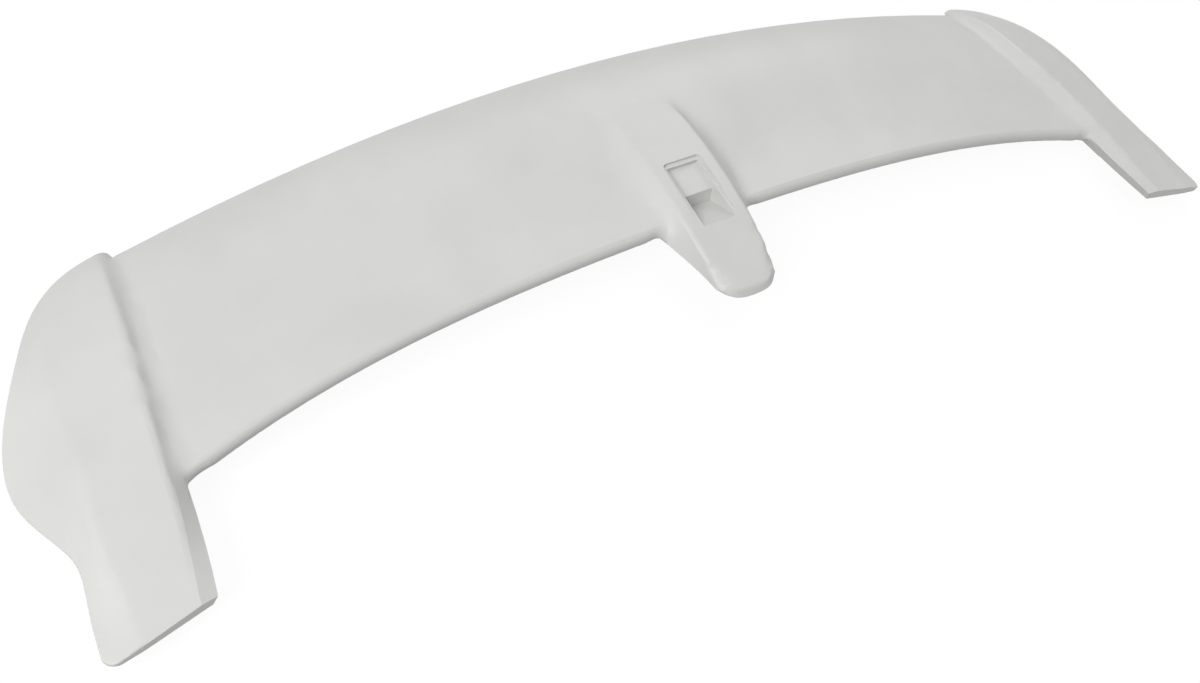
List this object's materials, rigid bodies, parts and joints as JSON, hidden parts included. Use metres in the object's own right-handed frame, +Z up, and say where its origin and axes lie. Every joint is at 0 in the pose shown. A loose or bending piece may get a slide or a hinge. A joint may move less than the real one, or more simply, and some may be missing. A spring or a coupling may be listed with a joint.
{
  "type": "liftgate spoiler",
  "caption": "Primed one-piece liftgate spoiler: crowned wing on end legs and a centre leg with a stepped washer-nozzle recess, bolted through its feet.",
  "frame": {"origin": "middle of the resting plane under the part, halfway along its length and depth", "axes": "+X across the car along the wing, -Y towards the toes of the legs, +Z up out of the wing's top"},
  "size_m": [1.2404, 0.3626, 0.0704],
  "materials": {
    "primer": "satin primer",
    "insert_brass": "turned"
  },
  "bodies": {
    "root": {"spoiler_body": "primer", "threaded_inserts": "insert_brass"}
  },
  "joints": []
}
